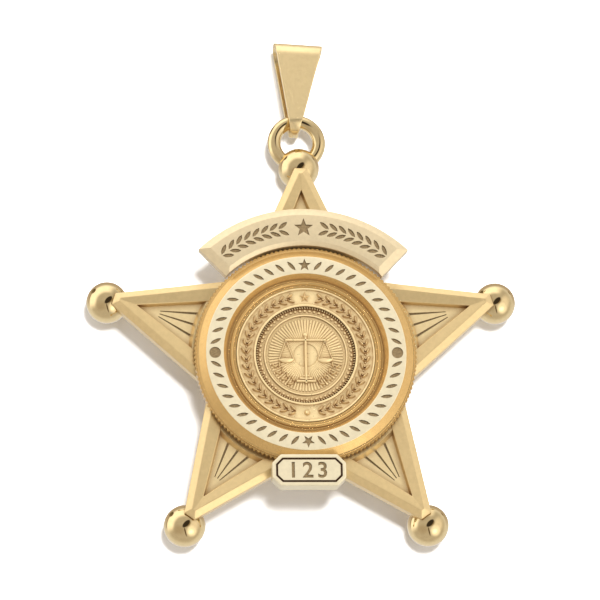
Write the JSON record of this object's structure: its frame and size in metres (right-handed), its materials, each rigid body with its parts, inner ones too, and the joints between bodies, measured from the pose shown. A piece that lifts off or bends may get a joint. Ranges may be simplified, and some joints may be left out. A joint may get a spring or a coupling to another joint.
{
  "type": "sheriff star badge pendant",
  "caption": "Ball-tipped star badge pendant with a raised centre disc, sunk seal, arched banner, number plate, jump ring and folded bail.",
  "frame": {"origin": "centre of the outline, on the surface that the badge lies on, face up", "axes": "+Z out of the face, +Y towards the bail, +X to the right as seen from the front"},
  "size_m": [0.0322, 0.0394, 0.0049],
  "materials": {
    "polished_gold": "polished yellow gold, finely brushed on the star's border",
    "satin_gold": "pale satin gold with dark engraving",
    "antique_gold": "gold relief with dark brown recesses"
  },
  "bodies": {
    "root": {"star": "polished_gold", "centre_disc": "satin_gold", "seal": "antique_gold", "banner": "satin_gold", "number_plate": "satin_gold", "jump_ring": "polished_gold", "bail": "polished_gold"}
  },
  "joints": []
}
